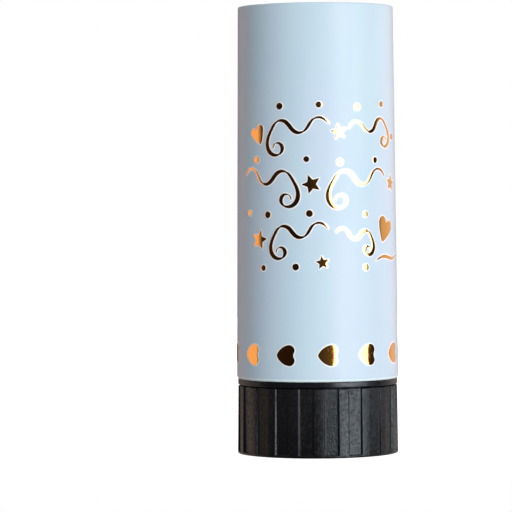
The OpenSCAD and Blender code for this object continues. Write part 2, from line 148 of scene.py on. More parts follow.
BEAD_REACH = 0.48
LUG_IN_R = 7.88
LUG_OUT_R = 10.28
LUG_DEG = 24.0
LUG_PLAY_DEG = 2.0
LUG_TURN = 200.0
LUG_OVERLAP = 1.12
TWIST_DEG = 90.0

# Raised arrow under the grip: its band's length, its width as a share of the hollow's, and its
# head's length and half width in shares of its own width
ARROW_DEG = 110
ARROW_POINTS = 40
ARROW_W_SHARE = 1 / 6
ARROW_HEAD_SHARE = 2.5
ARROW_HEAD_HALF_SHARE = 1.5
ARROW_TIP_HALF = 0.05

# Spring seat
COLLAR_R = seat_high[0]
COLLAR_H = 1.3
COLLAR_Z = FOOT_Z - COLLAR_H
PLUG_TOP_Z = seat_high[2]
TURN_FIT = 0.08
NECK_R = GRIP_BORE_R - TURN_FIT
NECK_WALL = 1.6
WELL_R = NECK_R - NECK_WALL
WELL_Z = spring_low[2]
SEAT_FLOOR_T = 1.5
SEAT_FLOOR_Z = WELL_Z - SEAT_FLOOR_T
SEAT_HOLE_R = 5.98
SLEEVE_T = 1.0
SLEEVE_R = BORE_R - SLEEVE_T
GROOVE_DEPTH = 0.64
GROOVE_PLAY = 0.05
GLUE_DEPTH = 0.5

# Spring, charge and lid
WIRE_R = 0.75
SPRING_R = spring_high[0] - WIRE_R
SPRING_TURNS = 5
SPRING_SWING_SHARE = 0.3
POINTS_PER_TURN = 72
WIRE_SIDES = 16
SLIPS_PER_STACK = 14
SLIP_HALF_T_SHARE = 0.27
SLIP_SIDE_PLAY = 0.15
SLIP_SHIFT = 0.12
SLIP_SHORTEST_BY = 0.7
SLIP_PHASE = 6.28
SLIP_POINTS = 9
SLIP_LEVELS = 22
OWN_BOW_SHARE = 0.05
STACK_BOW = 0.12
STACK_BOW_H = 70
LID_R = lid_high[0]
LID_EDGE = 0.15
FACING_RINGS = 44
CRUMPLE = 0.05
CRUMPLED_SHARE = 0.8
# Rounded edge of the facing: how far in from the rim, how far below the top
FACING_EDGE = ((0.12, 0.0), (0.04, 0.015), (0.0, 0.05))

# Foil print: the ornament's places, as shares of its line pitch, stroke and heart widths
FOIL_T = 0.08
HEARTS = 12
HEART_W = hearts_high[2] - hearts_low[2]
HEART_ROW_Z = (hearts_high[2] + hearts_low[2]) / 2
HEART_PHASE = 7.1
# Forms of the hearts in shares of their width, their length's middle at 0: radius of a lobe, height
# of the lobes' middles, middle of the right flank's round, half the width of the notch
ROW_HEART_SHARES = (0.2645, 0.1955, (-0.312, 0.3), 0.06)
ACCENT_HEART_SHARES = (0.24, 0.28, (-1.374, 0.933), 0.025)
MOTIF_UP = 43.4
MOTIF_Z = FOOT_Z + MOTIF_UP
LINE_PITCH = 11.7
STROKE_W = 0.95
STAR_INNER_SHARE = 0.45
# Accent hearts: turn, line, spin, width in hearts of the row
ACCENT_SHARES = ((-46.1, 1.022, 23, 0.86), (57.3, -0.815, -22, 1.15))
# Streamers: turn, line, length in strokes, tilt, mirrored or not
STREAMER_SHARES = (
    (-14, 1.0, 32, 4, False),
    (44.5, 1.04, 27, 6, True),
    (-37, 0.02, 33, -4, True),
    (33, 0.0, 34, 3, False),
    (-13, -1.0, 30, 5, False),
    (29, -1.02, 22, -6, True),
)
# Wavy line under the right accent heart: turn, line, length and swing in strokes, tilt
UNDERLINE_SHARE = (62, -1.34, 10, 0.6, 8)
# Stars: turn, line, radius in strokes, spin
STAR_SHARES = (
    (16.5, 1.08, 2.0, 10),
    (-3.5, 0.08, 2.4, 20),
    (67, 0.1, 2.1, -8),
    (-45, -0.98, 2.5, -12),
    (4, -1.42, 1.7, 8),
)
# Dots: turn, line, radius in strokes
DOT_SHARES = (
    (-27, 1.58, 0.8),
    (2, 1.6, 0.7),
    (31, 1.56, 0.8),
    (55, 1.62, 0.7),
    (71, 1.0, 0.8),
    (-48, 0.56, 0.8),
    (-7, 0.56, 0.7),
    (17, 0.5, 0.8),
    (47, 0.54, 0.7),
    (-56, -0.46, 0.7),
    (-37, -0.5, 0.8),
    (-5, -0.48, 0.8),
    (37, -0.5, 0.7),
    (-41, -1.52, 0.7),
    (-15, -1.5, 0.8),
    (37, -1.52, 0.8),
)
# A streamer's curl and wavy tail, and the broad pen that draws it
CURLED_SHARE = 0.45
CURL_DEG = 400.0
SWING_DEG = 56.0
TAIL_WAVES = 1.5
NIB_DEG = 25.0
THIN_SHARE = 0.35
TIP_SHARE = 0.25
TIP_RISE = 6
# Fine print round the foil, the foil's rounded rim, and how far a skin goes into what carries it
KEYLINE_W = 0.27
KEYLINE_T = 0.035
RIM_DROP = 0.012
SUNK = 0.02

# Camera of the picture: metres and degrees, the sensor in millimetres, and lengths in pixels
CAMERA_AWAY = 0.690
CAMERA_H = 0.0577
SENSOR_W = 36.0
PICTURE_PX = 512
FOCAL_PX = 3006.0
YAW = 1.159
PITCH = 1.042
ROLL = -0.4

# Floor, in metres
FLOOR_FRONT = -0.07
FLOOR_HALF = 1.6
FLOOR_BACK = 2.4
FLOOR_POINTS = 33
FLOOR_LIFT = 0.92

# The studio's walls as gloss sees them: compass direction in degrees, tone
WALLS = (
    (-180, (0.22, 0.21, 0.20)),
    (-160, (0.16, 0.14, 0.13)),
    (-135, (0.75, 0.60, 0.54)),
    (-112, (1.0, 0.79, 0.68)),
    (-94, (1.0, 0.79, 0.68)),
    (-86, (0.03, 0.02, 0.02)),
    (-20, (0.01, 0.01, 0.01)),
    (4, (0.05, 0.05, 0.05)),
    (20, (0.09, 0.08, 0.06)),
    (78, (0.02, 0.02, 0.02)),
    (97, (0.02, 0.02, 0.02)),
    (108, (0.68, 0.66, 0.58)),
    (136, (0.84, 0.78, 0.76)),
    (152, (0.70, 0.64, 0.62)),
    (160, (0.30, 0.28, 0.27)),
    (180, (0.22, 0.21, 0.20)),
)
EVEN_LIGHT = (0.20, 0.20, 0.20)


# Shapes

def wave(degrees):
    """Sine and cosine of an angle in degrees."""
    return np.sin(np.radians(degrees)), np.cos(np.radians(degrees))


def eased(x, low, high):
    """0 below low, 1 above high, and the smooth cubic 3t^2 - 2t^3 between."""
    t = np.clip((x - low) / (high - low), 0, 1)
    return t * t * (3 - 2 * t)


def ramp(x, soft):
    """0 up to 0 and 1 from 1 on, straight between, both corners rounded off over +-soft."""
    def foot(t):
        return np.where(t < -soft, 0, np.where(t > soft, t, (t + soft) ** 2 / (4 * soft)))
    return foot(x) - foot(x - 1)


def arc(middle, r, start, end, steps=12):
    """Points at radius r round a middle, from one angle to another."""
    s, c = wave(np.linspace(start, end, steps + 1))
    return np.stack([middle[0] + r * c, middle[1] + r * s], axis=1)


def rounded(corners, steps=5):
    """Path through corners (r, z, fillet): each fillet is the quadratic curve between its two
    tangent points."""
    corners = np.array(corners, float)
    spots = corners[:, :2]
    before = np.roll(spots, 1, axis=0) - spots
    after = np.roll(spots, -1, axis=0) - spots
    before /= np.linalg.norm(before, axis=1, keepdims=True)
    after /= np.linalg.norm(after, axis=1, keepdims=True)
    t = np.linspace(0, 1, steps)[None, :, None]
    a = (spots + before * corners[:, 2:])[:, None]
    b = (spots + after * corners[:, 2:])[:, None]
    curve = (1 - t) ** 2 * a + 2 * t * (1 - t) * spots[:, None] + t ** 2 * b
    sharp = corners[:, 2] == 0
    return np.vstack([spot[:1] if flat else spot for spot, flat in zip(curve, sharp)])


def filled(path, step):
    """The same path with points added so that none are further apart than step."""
    gaps = np.linalg.norm(np.diff(path, axis=0), axis=1)
    at = np.concatenate([[0], np.cumsum(gaps)])
    pieces = [np.linspace(a, b, max(int(np.ceil((b - a) / step)), 1), endpoint=False)
              for a, b in zip(at[:-1], at[1:]) if b > a]
    spots = np.concatenate(pieces + [at[-1:]])
    return np.stack([np.interp(spots, at, path[:, k]) for k in range(path.shape[1])], axis=1)


def evened(loop, count):
    """A closed outline resampled to evenly spaced points."""
    ring = np.vstack([loop, loop[:1]])
    at = np.concatenate([[0], np.cumsum(np.linalg.norm(np.diff(ring, axis=0), axis=1))])
    spots = np.linspace(0, at[-1], count, endpoint=False)
    return np.stack([np.interp(spots, at, ring[:, k]) for k in range(2)], axis=1)


def softened(loop, rounds):
    """A closed outline with each point drawn a quarter of the way to each neighbour, some rounds
    over."""
    for _ in range(rounds):
        loop = (np.roll(loop, 1, axis=0) + 2 * loop + np.roll(loop, -1, axis=0)) / 4
    return loop


def grown(loop, by):
    """A closed anticlockwise outline moved outwards along its normals."""
    way = np.roll(loop, -1, axis=0) - np.roll(loop, 1, axis=0)
    way /= np.linalg.norm(way, axis=1, keepdims=True)
    return loop + by * np.stack([way[:, 1], -way[:, 0]], axis=1)


def round_axis(turns, r, z):
    """Points (r sin turn, -r cos turn, z); turns run along the first side of the grid."""
    s, c = wave(turns)
    return np.stack([r * s, -r * c, np.broadcast_to(z, r.shape)], axis=-1)


def pinched(grid):
    """A grid whose first and last rows shrink to their middles, so that the ends are closed."""
    ends = [np.broadcast_to(row.mean(axis=0), row.shape)[None] for row in (grid[0], grid[-1])]
    return np.concatenate([ends[0], grid, ends[1]])


def quads(rows, cols, rows_closed, cols_closed):
    """Corners of the faces between neighbours of a rows x cols grid, joined over its ends where
    closed."""
    i = np.arange(rows if rows_closed else rows - 1)[:, None]
    j = np.arange(cols if cols_closed else cols - 1)[None]
    below, right = (i + 1) % rows, (j + 1) % cols
    corners = [i * cols + j, i * cols + right, below * cols + right, below * cols + j]
    return np.stack([np.broadcast_to(c, (i.size, j.size)) for c in corners], axis=-1).reshape(-1, 4)


def piece(name, skins, finish, body, nodes=(), sharp=38.0):
    """One mesh object from closed skins (grid, rows_closed, cols_closed), on a body of the frame,
    in place of the nodes that it is given."""
    spots, faces, start = [], [], 0
    for grid, rows_closed, cols_closed in skins:
        rows, cols = grid.shape[:2]
        spots.append(grid.reshape(-1, 3))
        faces.append(quads(rows, cols, rows_closed, cols_closed) + start)
        start += rows * cols
    mesh = bpy.data.meshes.new(name)
    mesh.from_pydata((np.concatenate(spots) * MM).tolist(), [], np.concatenate(faces).tolist())
    work = bmesh.new()
    work.from_mesh(mesh)
    bmesh.ops.remove_doubles(work, verts=work.verts, dist=1e-8)
    bmesh.ops.dissolve_degenerate(work, edges=work.edges, dist=1e-8)
    bmesh.ops.recalc_face_normals(work, faces=work.faces)
    work.to_mesh(mesh)
    work.free()
    mesh.polygons.foreach_set("use_smooth", np.ones(len(mesh.polygons), bool))
    mesh.set_sharp_from_angle(angle=np.radians(sharp))
    mesh.materials.append(finish)
    made = bpy.data.objects.new(name, mesh)
    bpy.context.collection.objects.link(made)
    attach(made, body)
    if nodes:
        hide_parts(*nodes)


# Finishes

class Amount:
    """What an output of a node gives; sums on it add Math nodes."""

    def __init__(self, finish, socket):
        self.finish = finish
        self.socket = socket

    def _sum(self, operation, *terms):
        return self.finish.node("Math", {"operation": operation}, dict(enumerate(terms)))

    def __add__(self, other):
        return self._sum("ADD", self, other)

    __radd__ = __add__

    def __sub__(self, other):
        return self._sum("SUBTRACT", self, other)

    def __rsub__(self, other):
        return self._sum("SUBTRACT", other, self)

    def __mul__(self, other):
        return self._sum("MULTIPLY", self, other)

    __rmul__ = __mul__

    def above(self, low, high):
        """0 below low, 1 above high, and a smooth step between."""
        return self.finish.node("MapRange", {"interpolation_type": "SMOOTHSTEP"},
                                {0: self, 1: low, 2: high, 3: 0.0, 4: 1.0})


class Finish:
    """A node tree of one material, or of the world, built by node()."""

    def __init__(self, tree):
        self.tree = tree
        self.tree.nodes.clear()
        self.places = None

    def node(self, kind, settings=None, sockets=None, out=0):
        """Adds a node of a kind, sets it up, fills its sockets and gives its output."""
        made = self.tree.nodes.new("ShaderNode" + kind)
        for key, value in (settings or {}).items():
            if key == "stops":
                ramp_points = made.color_ramp.elements
                while len(ramp_points) < len(value):
                    ramp_points.new(0.5)
                for point, (place, colour) in zip(ramp_points, value):
                    point.position = place
                    point.color = (*colour, 1)
            else:
                setattr(made, key, value)
        for key, value in (sockets or {}).items():
            if isinstance(value, Amount):
                self.tree.links.new(value.socket, made.inputs[key])
            else:
                made.inputs[key].default_value = value
        return Amount(self, made.outputs[out]) if made.outputs else made

    def place(self, stretch=(1, 1, 1)):
        """Object coordinates in millimetres, stretched along each axis."""
        if self.places is None:
            self.places = self.node("TexCoord", out="Object")
        scale = tuple(1 / (MM * s) for s in stretch)
        return self.node("Mapping", {}, {"Vector": self.places, "Scale": scale})

    def axes(self, vector):
        """The three parts of a vector."""
        outputs = self.node("SeparateXYZ", {}, {0: vector}).socket.node.outputs
        return [Amount(self, outputs[k]) for k in range(3)]

    def rays(self, *kinds):
        """For each kind of ray, 1 where such a ray looks and 0 elsewhere."""
        outputs = self.node("LightPath").socket.node.outputs
        return [Amount(self, outputs[f"Is {kind} Ray"]) for kind in kinds]

    def height(self):
        """Height over the table in millimetres."""
        return self.axes(self.place())[2]

    def noise(self, size, detail=2.0, stretch=(1, 1, 1), roughness=0.5):
        """Cloudy noise whose patches are about size millimetres wide."""
        return self.node("TexNoise", {}, {"Vector": self.place(stretch), "Scale": 1 / size,
                                          "Detail": detail, "Roughness": roughness})

    def mix(self, amount, first, second):
        """Colour between first and second."""
        return self.node("Mix", {"data_type": "RGBA"},
                         {0: amount, 6: self.colour(first), 7: self.colour(second)}, out=2)

    @staticmethod
    def colour(value):
        """A node's colour as it is, or three numbers with a full alpha."""
        return value if isinstance(value, Amount) else (*value, 1)

    def bump(self, height, depth, strength=1.0, under=None):
        """Normal bent by a height of 0 to 1, depth in millimetres."""
        sockets = {"Height": height, "Distance": depth * MM, "Strength": strength}
        if under is not None:
            sockets["Normal"] = under
        return self.node("Bump", {}, sockets)


def finish(name, shade):
    """A material whose Principled shader takes what shade(finish) gives for its sockets."""
    material = bpy.data.materials.new(name)
    material.use_nodes = True
    made = Finish(material.node_tree)
    shader = made.node("BsdfPrincipled", {}, shade(made))
    made.node("OutputMaterial", {}, {"Surface": shader})
    return material


def pearl_paper(f):
    """Pale blue print under satin pearl film: soft upright bands of bluer and greener light, fine
    flakes, the film's faint ripple, and a painted highlight at the foot: a pale cyan band where the
    paper turns under, standing in for the floor light that the turn catches."""
    bands = f.noise(5.0, 2.0, (1, 1, 7)).above(0.35, 0.65)
    warmer = f.noise(9.0, 1.0, (1, 1, 5)).above(0.42, 0.66)
    blue = f.mix(bands, (0.555, 0.750, 0.870), (0.575, 0.772, 0.860))
    blue = f.mix(warmer * 0.6, blue, (0.600, 0.742, 0.880))
    # Painted highlight: the pale cyan band at the foot stands in for floor light caught where the
    # paper turns under
    edge = FOOT_Z + FOOT_HIGHLIGHT_H
    margin = 1 - f.height().above(edge - FOOT_HIGHLIGHT_BLUR, edge + FOOT_HIGHLIGHT_BLUR)
    blue = f.mix(margin, blue, (0.78, 0.97, 1.0))
    flakes = f.noise(0.11, 1.0).above(0.45, 0.75)
    ripple = f.noise(1.6, 2.0)
    grain = f.noise(0.16, 1.0)
    return {
        "Base Color": f.mix(flakes * 0.08, blue, (0.90, 0.93, 0.97)),
        "Roughness": 0.22 + flakes * 0.08,
        "Specular IOR Level": 0.09,
        "Specular Tint": (1.0, 0.40, 0.15, 1),
        "Sheen Weight": 0.18,
        "Sheen Roughness": 0.35,
        "Sheen Tint": (1.0, 0.55, 0.62, 1),
        "Normal": f.bump(grain, 0.002, 0.5, f.bump(ripple, 0.008, 0.5)),
    }


def keyline_print(f):
    """Near-white print that shows as a fine line round the foil."""
    return {
        "Base Color": f.mix(f.noise(0.4, 2.0), (0.90, 0.93, 0.94), (0.95, 0.96, 0.96)),
        "Roughness": 0.4,
        "Coat Weight": 0.5,
        "Coat Roughness": 0.2,
        "Normal": f.bump(f.noise(0.16, 1.0), 0.002, 0.5),
    }


def gold_foil(f):
    """Hot-stamped foil: mirror gold with the paper's fine tooth and a few dull specks."""
    tooth = f.noise(0.35, 3.0)
    sag = f.noise(2.4, 1.0)
    specks = f.noise(0.22, 2.0).above(0.70, 0.78)
    return {
        "Base Color": f.mix(sag, (0.96, 0.42, 0.085), (0.94, 0.45, 0.11)),
        "Metallic": 1.0,
        "Roughness": 0.09 + specks * 0.12,
        "Coat Weight": 0.3,
        "Coat Roughness": 0.06,
        "Normal": f.bump(tooth, 0.002, 0.12, f.bump(sag, 0.01, 0.12)),
    }


def lid_foil(f):
    """Foil paper on the lid, softer than the stamped foil and lightly creased."""
    creases = f.node("TexVoronoi", {"feature": "DISTANCE_TO_EDGE"},
                     {"Vector": f.place(), "Scale": 0.28})
    worn = f.noise(3.0, 4.0).above(0.5, 0.8)
    return {
        "Base Color": f.mix(worn, (0.90, 0.60, 0.25), (0.86, 0.62, 0.32)),
        "Metallic": 1.0,
        "Roughness": 0.24 + worn * 0.12,
        "Normal": f.bump(creases.above(0.0, 0.12), 0.03, 0.5, f.bump(f.noise(0.6, 3.0), 0.01, 0.5)),
    }


def dark_moulding(grain_size, grain_depth, roughness, colour, polish=0.0):
    """Satin dark plastic: spark-eroded grain, mottles and slow changes of gloss on top of a least
    roughness, faint upright drag lines, and a polish that grows towards the foot."""
    def shade(f):
        grain = f.noise(grain_size, 3.0, (1, 1, 1.6), 0.7)
        drag = f.noise(0.5, 2.0, (1, 1, 30))
        pits = grain.above(0.5, 0.7)
        mottles = f.noise(grain_size * 1.8, 3.0, (1, 1, 1), 0.7).above(0.42, 0.62)
        clouds = f.noise(4.0, 2.0)
        dust = f.noise(0.6, 4.0).above(0.62, 0.85)
        lighter = tuple(c * 1.4 + 0.002 for c in colour)
        worn = 1 - f.height().above(0.0, GRIP_H)
        return {
            "Base Color": f.mix(clouds * 0.5 + dust * 0.4, colour, lighter),
            "Roughness": (roughness + clouds * 0.12 + dust * 0.08 + pits * 0.12 + mottles * 0.3
                          - worn * polish),
            "Specular IOR Level": 0.2,
            "Normal": f.bump(drag, grain_depth / 4, 0.4, f.bump(grain, grain_depth, 1.0)),
        }
    return shade


def pale_moulding(colour, roughness, glow=0.0):
    """Uncoloured or white moulded plastic, a little cloudy."""
    def shade(f):
        clouds = f.noise(3.0, 3.0)
        darker = tuple(c * 0.93 for c in colour)
        return {
            "Base Color": f.mix(clouds, colour, darker),
            "Roughness": roughness + clouds * 0.1,
            "Subsurface Weight": glow,
            "Subsurface Radius": (MM, MM, MM),
            "Normal": f.bump(f.noise(0.3, 2.0), 0.004, 0.5),
        }
    return shade


def board(colour, fibre_colour):
    """Grey or brown board: layered fibres lying round the tube, with flecks of a second colour."""
    def shade(f):
        fibres = f.noise(0.5, 4.0, (4, 4, 1), 0.65)
        flecks = f.noise(0.25, 2.0, (2, 2, 1)).above(0.6, 0.72)
        darker = tuple(c * 0.72 for c in colour)
        return {
            "Base Color": f.mix(flecks * 0.5, f.mix(fibres, darker, colour), fibre_colour),
            "Roughness": 0.82,
            "Normal": f.bump(fibres, 0.05, 0.6),
        }
    return shade


def tissue(colour):
    """Thin dyed tissue: soft fibres, slightly uneven dye."""
    def shade(f):
        fibres = f.noise(0.35, 4.0, (1, 1, 3), 0.6)
        darker = tuple(c * 0.75 for c in colour)
        return {
            "Base Color": f.mix(fibres, darker, colour),
            "Roughness": 0.75,
            "Sheen Weight": 0.2,
            "Normal": f.bump(fibres, 0.02, 0.5),
        }
    return shade


def drawn_wire(f):
    """Bright drawn steel with fine die lines and a trace of oil."""
    lines = f.noise(0.12, 3.0, (3, 3, 1))
    oil = f.noise(2.0, 3.0).above(0.45, 0.7)
    return {
        "Base Color": f.mix(oil, (0.56, 0.57, 0.58), (0.44, 0.43, 0.41)),
        "Metallic": 1.0,
        "Roughness": 0.26 + lines * 0.16,
        "Normal": f.bump(lines, 0.004, 0.5),
    }


def set_glue(f):
    """Cloudy hot-melt glue, smooth and slightly lumpy."""
    lumps = f.noise(1.2, 2.0)
    return {
        "Base Color": f.mix(lumps, (0.80, 0.74, 0.58), (0.88, 0.85, 0.72)),
        "Roughness": 0.35 + lumps * 0.15,
        "Normal": f.bump(lumps, 0.08, 0.6),
    }


PEARL = finish("pearl_paper", pearl_paper)
KEYLINE = finish("keyline_print", keyline_print)
FOIL = finish("gold_foil", gold_foil)
LID_FOIL = finish("lid_foil", lid_foil)
GRIP_BLACK = finish("grip_black", dark_moulding(0.4, 0.09, 0.16, (0.008, 0.0082, 0.0095), 0.14))
SEAT_BLACK = finish("seat_black", dark_moulding(0.18, 0.005, 0.06, (0.006, 0.006, 0.009)))
KEY_GREY = finish("key_grey", dark_moulding(0.2, 0.006, 0.28, (0.10, 0.10, 0.11)))
CUP_WHITE = finish("cup_white", pale_moulding((0.84, 0.84, 0.82), 0.35, 0.1))
CLAW_NATURAL = finish("claw_natural", pale_moulding((0.82, 0.80, 0.73), 0.3, 0.2))
KRAFT = finish("kraft_core", board((0.52, 0.37, 0.23), (0.70, 0.58, 0.42)))
SLEEVE_PAPER = finish("sleeve_paper", board((0.82, 0.78, 0.70), (0.62, 0.56, 0.46)))
CARD = finish("card", board((0.58, 0.48, 0.36), (0.74, 0.68, 0.58)))
WIRE = finish("spring_wire", drawn_wire)
GLUE = finish("set_glue", set_glue)
TISSUES = (
    ("slips_pink", "pink_tissue", finish("pink_tissue", tissue((0.86, 0.16, 0.38)))),
    ("slips_yellow", "yellow_tissue", finish("yellow_tissue", tissue((0.92, 0.66, 0.10)))),
    ("slips_blue", "blue_tissue", finish("blue_tissue", tissue((0.10, 0.42, 0.78)))),
    ("slips_green", "green_tissue", finish("green_tissue", tissue((0.20, 0.60, 0.20)))),
    ("slips_violet", "violet_tissue", finish("violet_tissue", tissue((0.42, 0.20, 0.64)))),
)


# Printed tube

def tube_r(z):
    """Outside radius of the tube's straight stretch at a height."""
    return FOOT_R + (MOUTH_R - FOOT_R) * (z - CURL_Z) / (TUBE_TOP_Z - MOUTH_EDGE_R - CURL_Z)


def tube_side(depth):
    """Outline of the printed paper sunk by a depth: small and large foot curve, side, and the
    mouth's two folded edges."""
    edge = MOUTH_EDGE_R
    edge_z = TUBE_TOP_Z - edge
    return np.vstack([
        [[CURL_EDGE_MID_R - TUCK_W, FOOT_Z + depth]],
        arc((CURL_EDGE_MID_R, FOOT_Z + CURL_EDGE_R), CURL_EDGE_R - depth, -90, -CURL_TURN, 8),
        arc((FOOT_R - CURL_R, CURL_Z), CURL_R - depth, -CURL_TURN, 0, 14),
        arc((tube_r(edge_z) - edge, edge_z), edge - depth, 0, 90, 8),
        arc((LIP_R + edge, edge_z), edge - depth, 90, 180, 8),
    ])


def lap(turns):
    """Thickness that the paper's lap adds: a square step at LAP_TURN, LAP_DEG wide, that ends in a
    soft slope."""
    back = (LAP_TURN - turns) % 360
    return LAP_STEP * (1 - eased(back, LAP_DEG - LAP_FADE_DEG, LAP_DEG))


def printed_wrap():
    """The paper's outline, out and back again as one loop, carried round the axis; its outside
    carries the lap and a ripple, the product of two slanting waves."""
    outside = filled(np.vstack([tube_side(0), [[LIP_R, TUBE_TOP_Z - LIP_H]]]), WRAP_STEP)
    lining = filled(np.vstack([tube_side(WRAP_T), [[BORE_R, TUBE_TOP_Z - LIP_H]]]), LINING_STEP)
    loop = np.vstack([outside, lining[::-1]])
    outer = np.concatenate([np.ones(len(outside)), np.zeros(len(lining))])
    start = LAP_TURN + LAP_GAP_DEG
    turns = np.linspace(start, start + 360 - 2 * LAP_GAP_DEG, WRAP_TURNS)[:, None]
    z = loop[None, :, 1]
    ripple = RIPPLE * np.sin(np.radians(2 * turns) + z / 9) * np.sin(np.radians(3 * turns) - z / 14)
    r = loop[None, :, 0] + outer * (lap(turns) + ripple)
    piece("printed_wrap_skin", [(round_axis(turns, r, z), True, True)], PEARL,
          "barrel", ["printed_wrap"])


# Foil print

def on_tube(flat, lift, turn, z):
    """Points of a flat drawing held against the tube: (u, v) lies at height z + v, where u is the
    distance sideways from the turn, and lift is the height over the paper."""
    height = z + flat[..., 1]
    r = tube_r(height)
    total = turn + np.degrees(np.arcsin(flat[..., 0] / r))
    return round_axis(total, r + lift, height)


def spun(points, degrees):
    """Flat points turned anticlockwise."""
    s, c = wave(degrees)
    return points @ np.array([[c, s], [-s, c]])


def patch(loop, top, turn, z):
    """Closed skin over a flat outline: rings from its middle to its edge at height top, a fine
    rounded rim, and back to the middle under the paper's surface."""
    shares = np.array([0, 0.4, 0.75, 0.94, 1, 1, 0])[:, None, None]
    lifts = np.array([top, top, top, top, top - RIM_DROP, -SUNK, -SUNK])[:, None]
    return on_tube(loop[None] * shares, lifts, turn, z), False, True


def stroke(points, halves, top, turn, z):
    """Closed skin over a stroke: at each point of its path a loop over the stroke and back under
    it."""
    way = np.gradient(points, axis=0)
    way /= np.linalg.norm(way, axis=1, keepdims=True)
    side = np.stack([-way[:, 1], way[:, 0]], axis=1)
    across_shares = np.array([-1, -1, -0.86, 0, 0.86, 1, 1])
    lifts = np.array([-SUNK, top - RIM_DROP, top, top, top, top - RIM_DROP, -SUNK])
    flat = points[:, None] + (halves[:, None] * across_shares)[..., None] * side[:, None]
    return pinched(on_tube(flat, lifts[None], turn, z)), False, True


def heart(w, shares):
    """Heart outline w wide, tip down: on each side a flank's round that meets a lobe's in line."""
    lobe_r, lobe_up, flank, notch_half = shares
    lobe = np.array([0.5 - lobe_r, lobe_up])
    way = lobe - flank
    flank_r = np.linalg.norm(way) + lobe_r
    tip = -np.degrees(np.arccos(-flank[0] / flank_r))
    joint = np.degrees(np.arctan2(way[1], way[0]))
    notch = np.degrees(np.arccos((notch_half - lobe[0]) / lobe_r))
    half = np.vstack([
        arc(flank, flank_r, tip, joint, 24),
        arc(lobe, lobe_r, joint, notch, 24),
    ])
    return softened(evened(w * np.vstack([half, half[::-1] * [-1, 1]]), 96), 3)


def star(r):
    """Five-pointed star outline with slightly blunted points."""
    k = np.arange(10)
    s, c = wave(-36 * k)
    reach = np.where(k % 2 == 0, r, r * STAR_INNER_SHARE)
    return softened(evened(np.stack([reach * s, reach * c], axis=1), 80), 1)


def dot(r):
    """Round outline."""
    return arc((0, 0), r, 0, 360, 40)[:-1]


def streamer(length, flip):
    """Path of a streamer: its heading curls open as the square of the way left, then swings as a
    cosine; the path is the running sum of the headings, centred on its own box."""
    steps = 144
    u = (np.arange(steps) + 0.5) / steps
    curl = SWING_DEG + CURL_DEG * (1 - u / CURLED_SHARE) ** 2
    tail = SWING_DEG * wave(360 * TAIL_WAVES * (u - CURLED_SHARE) / (1 - CURLED_SHARE))[1]
    s, c = wave(np.where(u < CURLED_SHARE, curl, tail))
    path = np.vstack([[0, 0], np.cumsum(np.stack([c, s], axis=1), axis=0)]) * length / steps
    path -= (path.min(axis=0) + path.max(axis=0)) / 2
    return path * [-1, 1] if flip else path


def nib_halves(path, w, mirrored=False):
    """Half widths of a stroke drawn with a broad pen held at NIB_DEG, thin at both ends."""
    way = np.gradient(path * ([-1, 1] if mirrored else [1, 1]), axis=0)
    heading = np.arctan2(way[:, 1], way[:, 0])
    nib = THIN_SHARE + (1 - THIN_SHARE) * np.abs(np.sin(heading - np.radians(NIB_DEG)))
    along = np.arange(len(path))
    end_share = np.minimum(along, along[::-1]) / (len(path) - 1)
    return w / 2 * nib * np.minimum(1, TIP_SHARE + TIP_RISE * end_share)


def drawn_longer(path, halves, by):
    """A stroke grown by a margin all round, its ends too."""
    first, last = path[0] - path[1], path[-1] - path[-2]
    first, last = first / np.linalg.norm(first), last / np.linalg.norm(last)
    path = np.vstack([path[0] + first * by, path[0] + first * by * 0.7, path,
                      path[-1] + last * by * 0.7, path[-1] + last * by])
    halves = np.concatenate([[halves[0] + by * 0.1], [halves[0] + by * 0.75], halves + by,
                             [halves[-1] + by * 0.75], [halves[-1] + by * 0.1]])
    return path, halves


def ornament():
    """Every foil shape as (outline, None, turn, z) or (path, half widths, turn, z): the row of
    hearts, and the front's hearts, streamers, wavy line, stars and dots."""
    def line_z(line):
        return MOTIF_Z + line * LINE_PITCH

    row = [(spun(heart(HEART_W, ROW_HEART_SHARES), -90), None, HEART_PHASE + 360 * k / HEARTS,
            HEART_ROW_Z) for k in range(HEARTS)]
    front = [(spun(heart(share * HEART_W, ACCENT_HEART_SHARES), spin), None, turn, line_z(line))
             for turn, line, spin, share in ACCENT_SHARES]
    for turn, line, length, tilt, flip in STREAMER_SHARES:
        path = streamer(length * STROKE_W, flip)
        front.append((spun(path, tilt), nib_halves(path, STROKE_W, flip), turn, line_z(line)))
    turn, line, length, swing, tilt = UNDERLINE_SHARE
    u = np.linspace(0, 1, 41)
    path = np.stack([length * (u - 0.5), swing * wave(360 * u)[0]], axis=1) * STROKE_W
    front.append((spun(path, tilt), nib_halves(path, STROKE_W), turn, line_z(line)))
    front += [(spun(star(r * STROKE_W), spin), None, turn, line_z(line))
              for turn, line, r, spin in STAR_SHARES]
    front += [(dot(r * STROKE_W), None, turn, line_z(line)) for turn, line, r in DOT_SHARES]
    return row, front


def inlaid(shape, top, margin=0.0):
    """Closed skin of one foil shape, grown by a margin."""
    drawing, halves, turn, z = shape
    if halves is None:
        return patch(grown(drawing, margin) if margin else drawing, top, turn, z)
    path = drawing
    if margin:
        path, halves = drawn_longer(path, halves, margin)
    return stroke(path, halves, top, turn, z)


def foil_print():
    """The foil of the row and of the front, and the keyline that shows round all of it."""
    row, front = ornament()
    piece("foil_hearts_skin", [inlaid(s, FOIL_T) for s in row], FOIL,
          "barrel", ["foil_hearts"])
    piece("foil_motif_skin", [inlaid(s, FOIL_T) for s in front], FOIL,
          "barrel", ["foil_motif"])
    piece("print_keyline", [inlaid(s, KEYLINE_T, KEYLINE_W) for s in row + front], KEYLINE,
          "barrel")


# Base

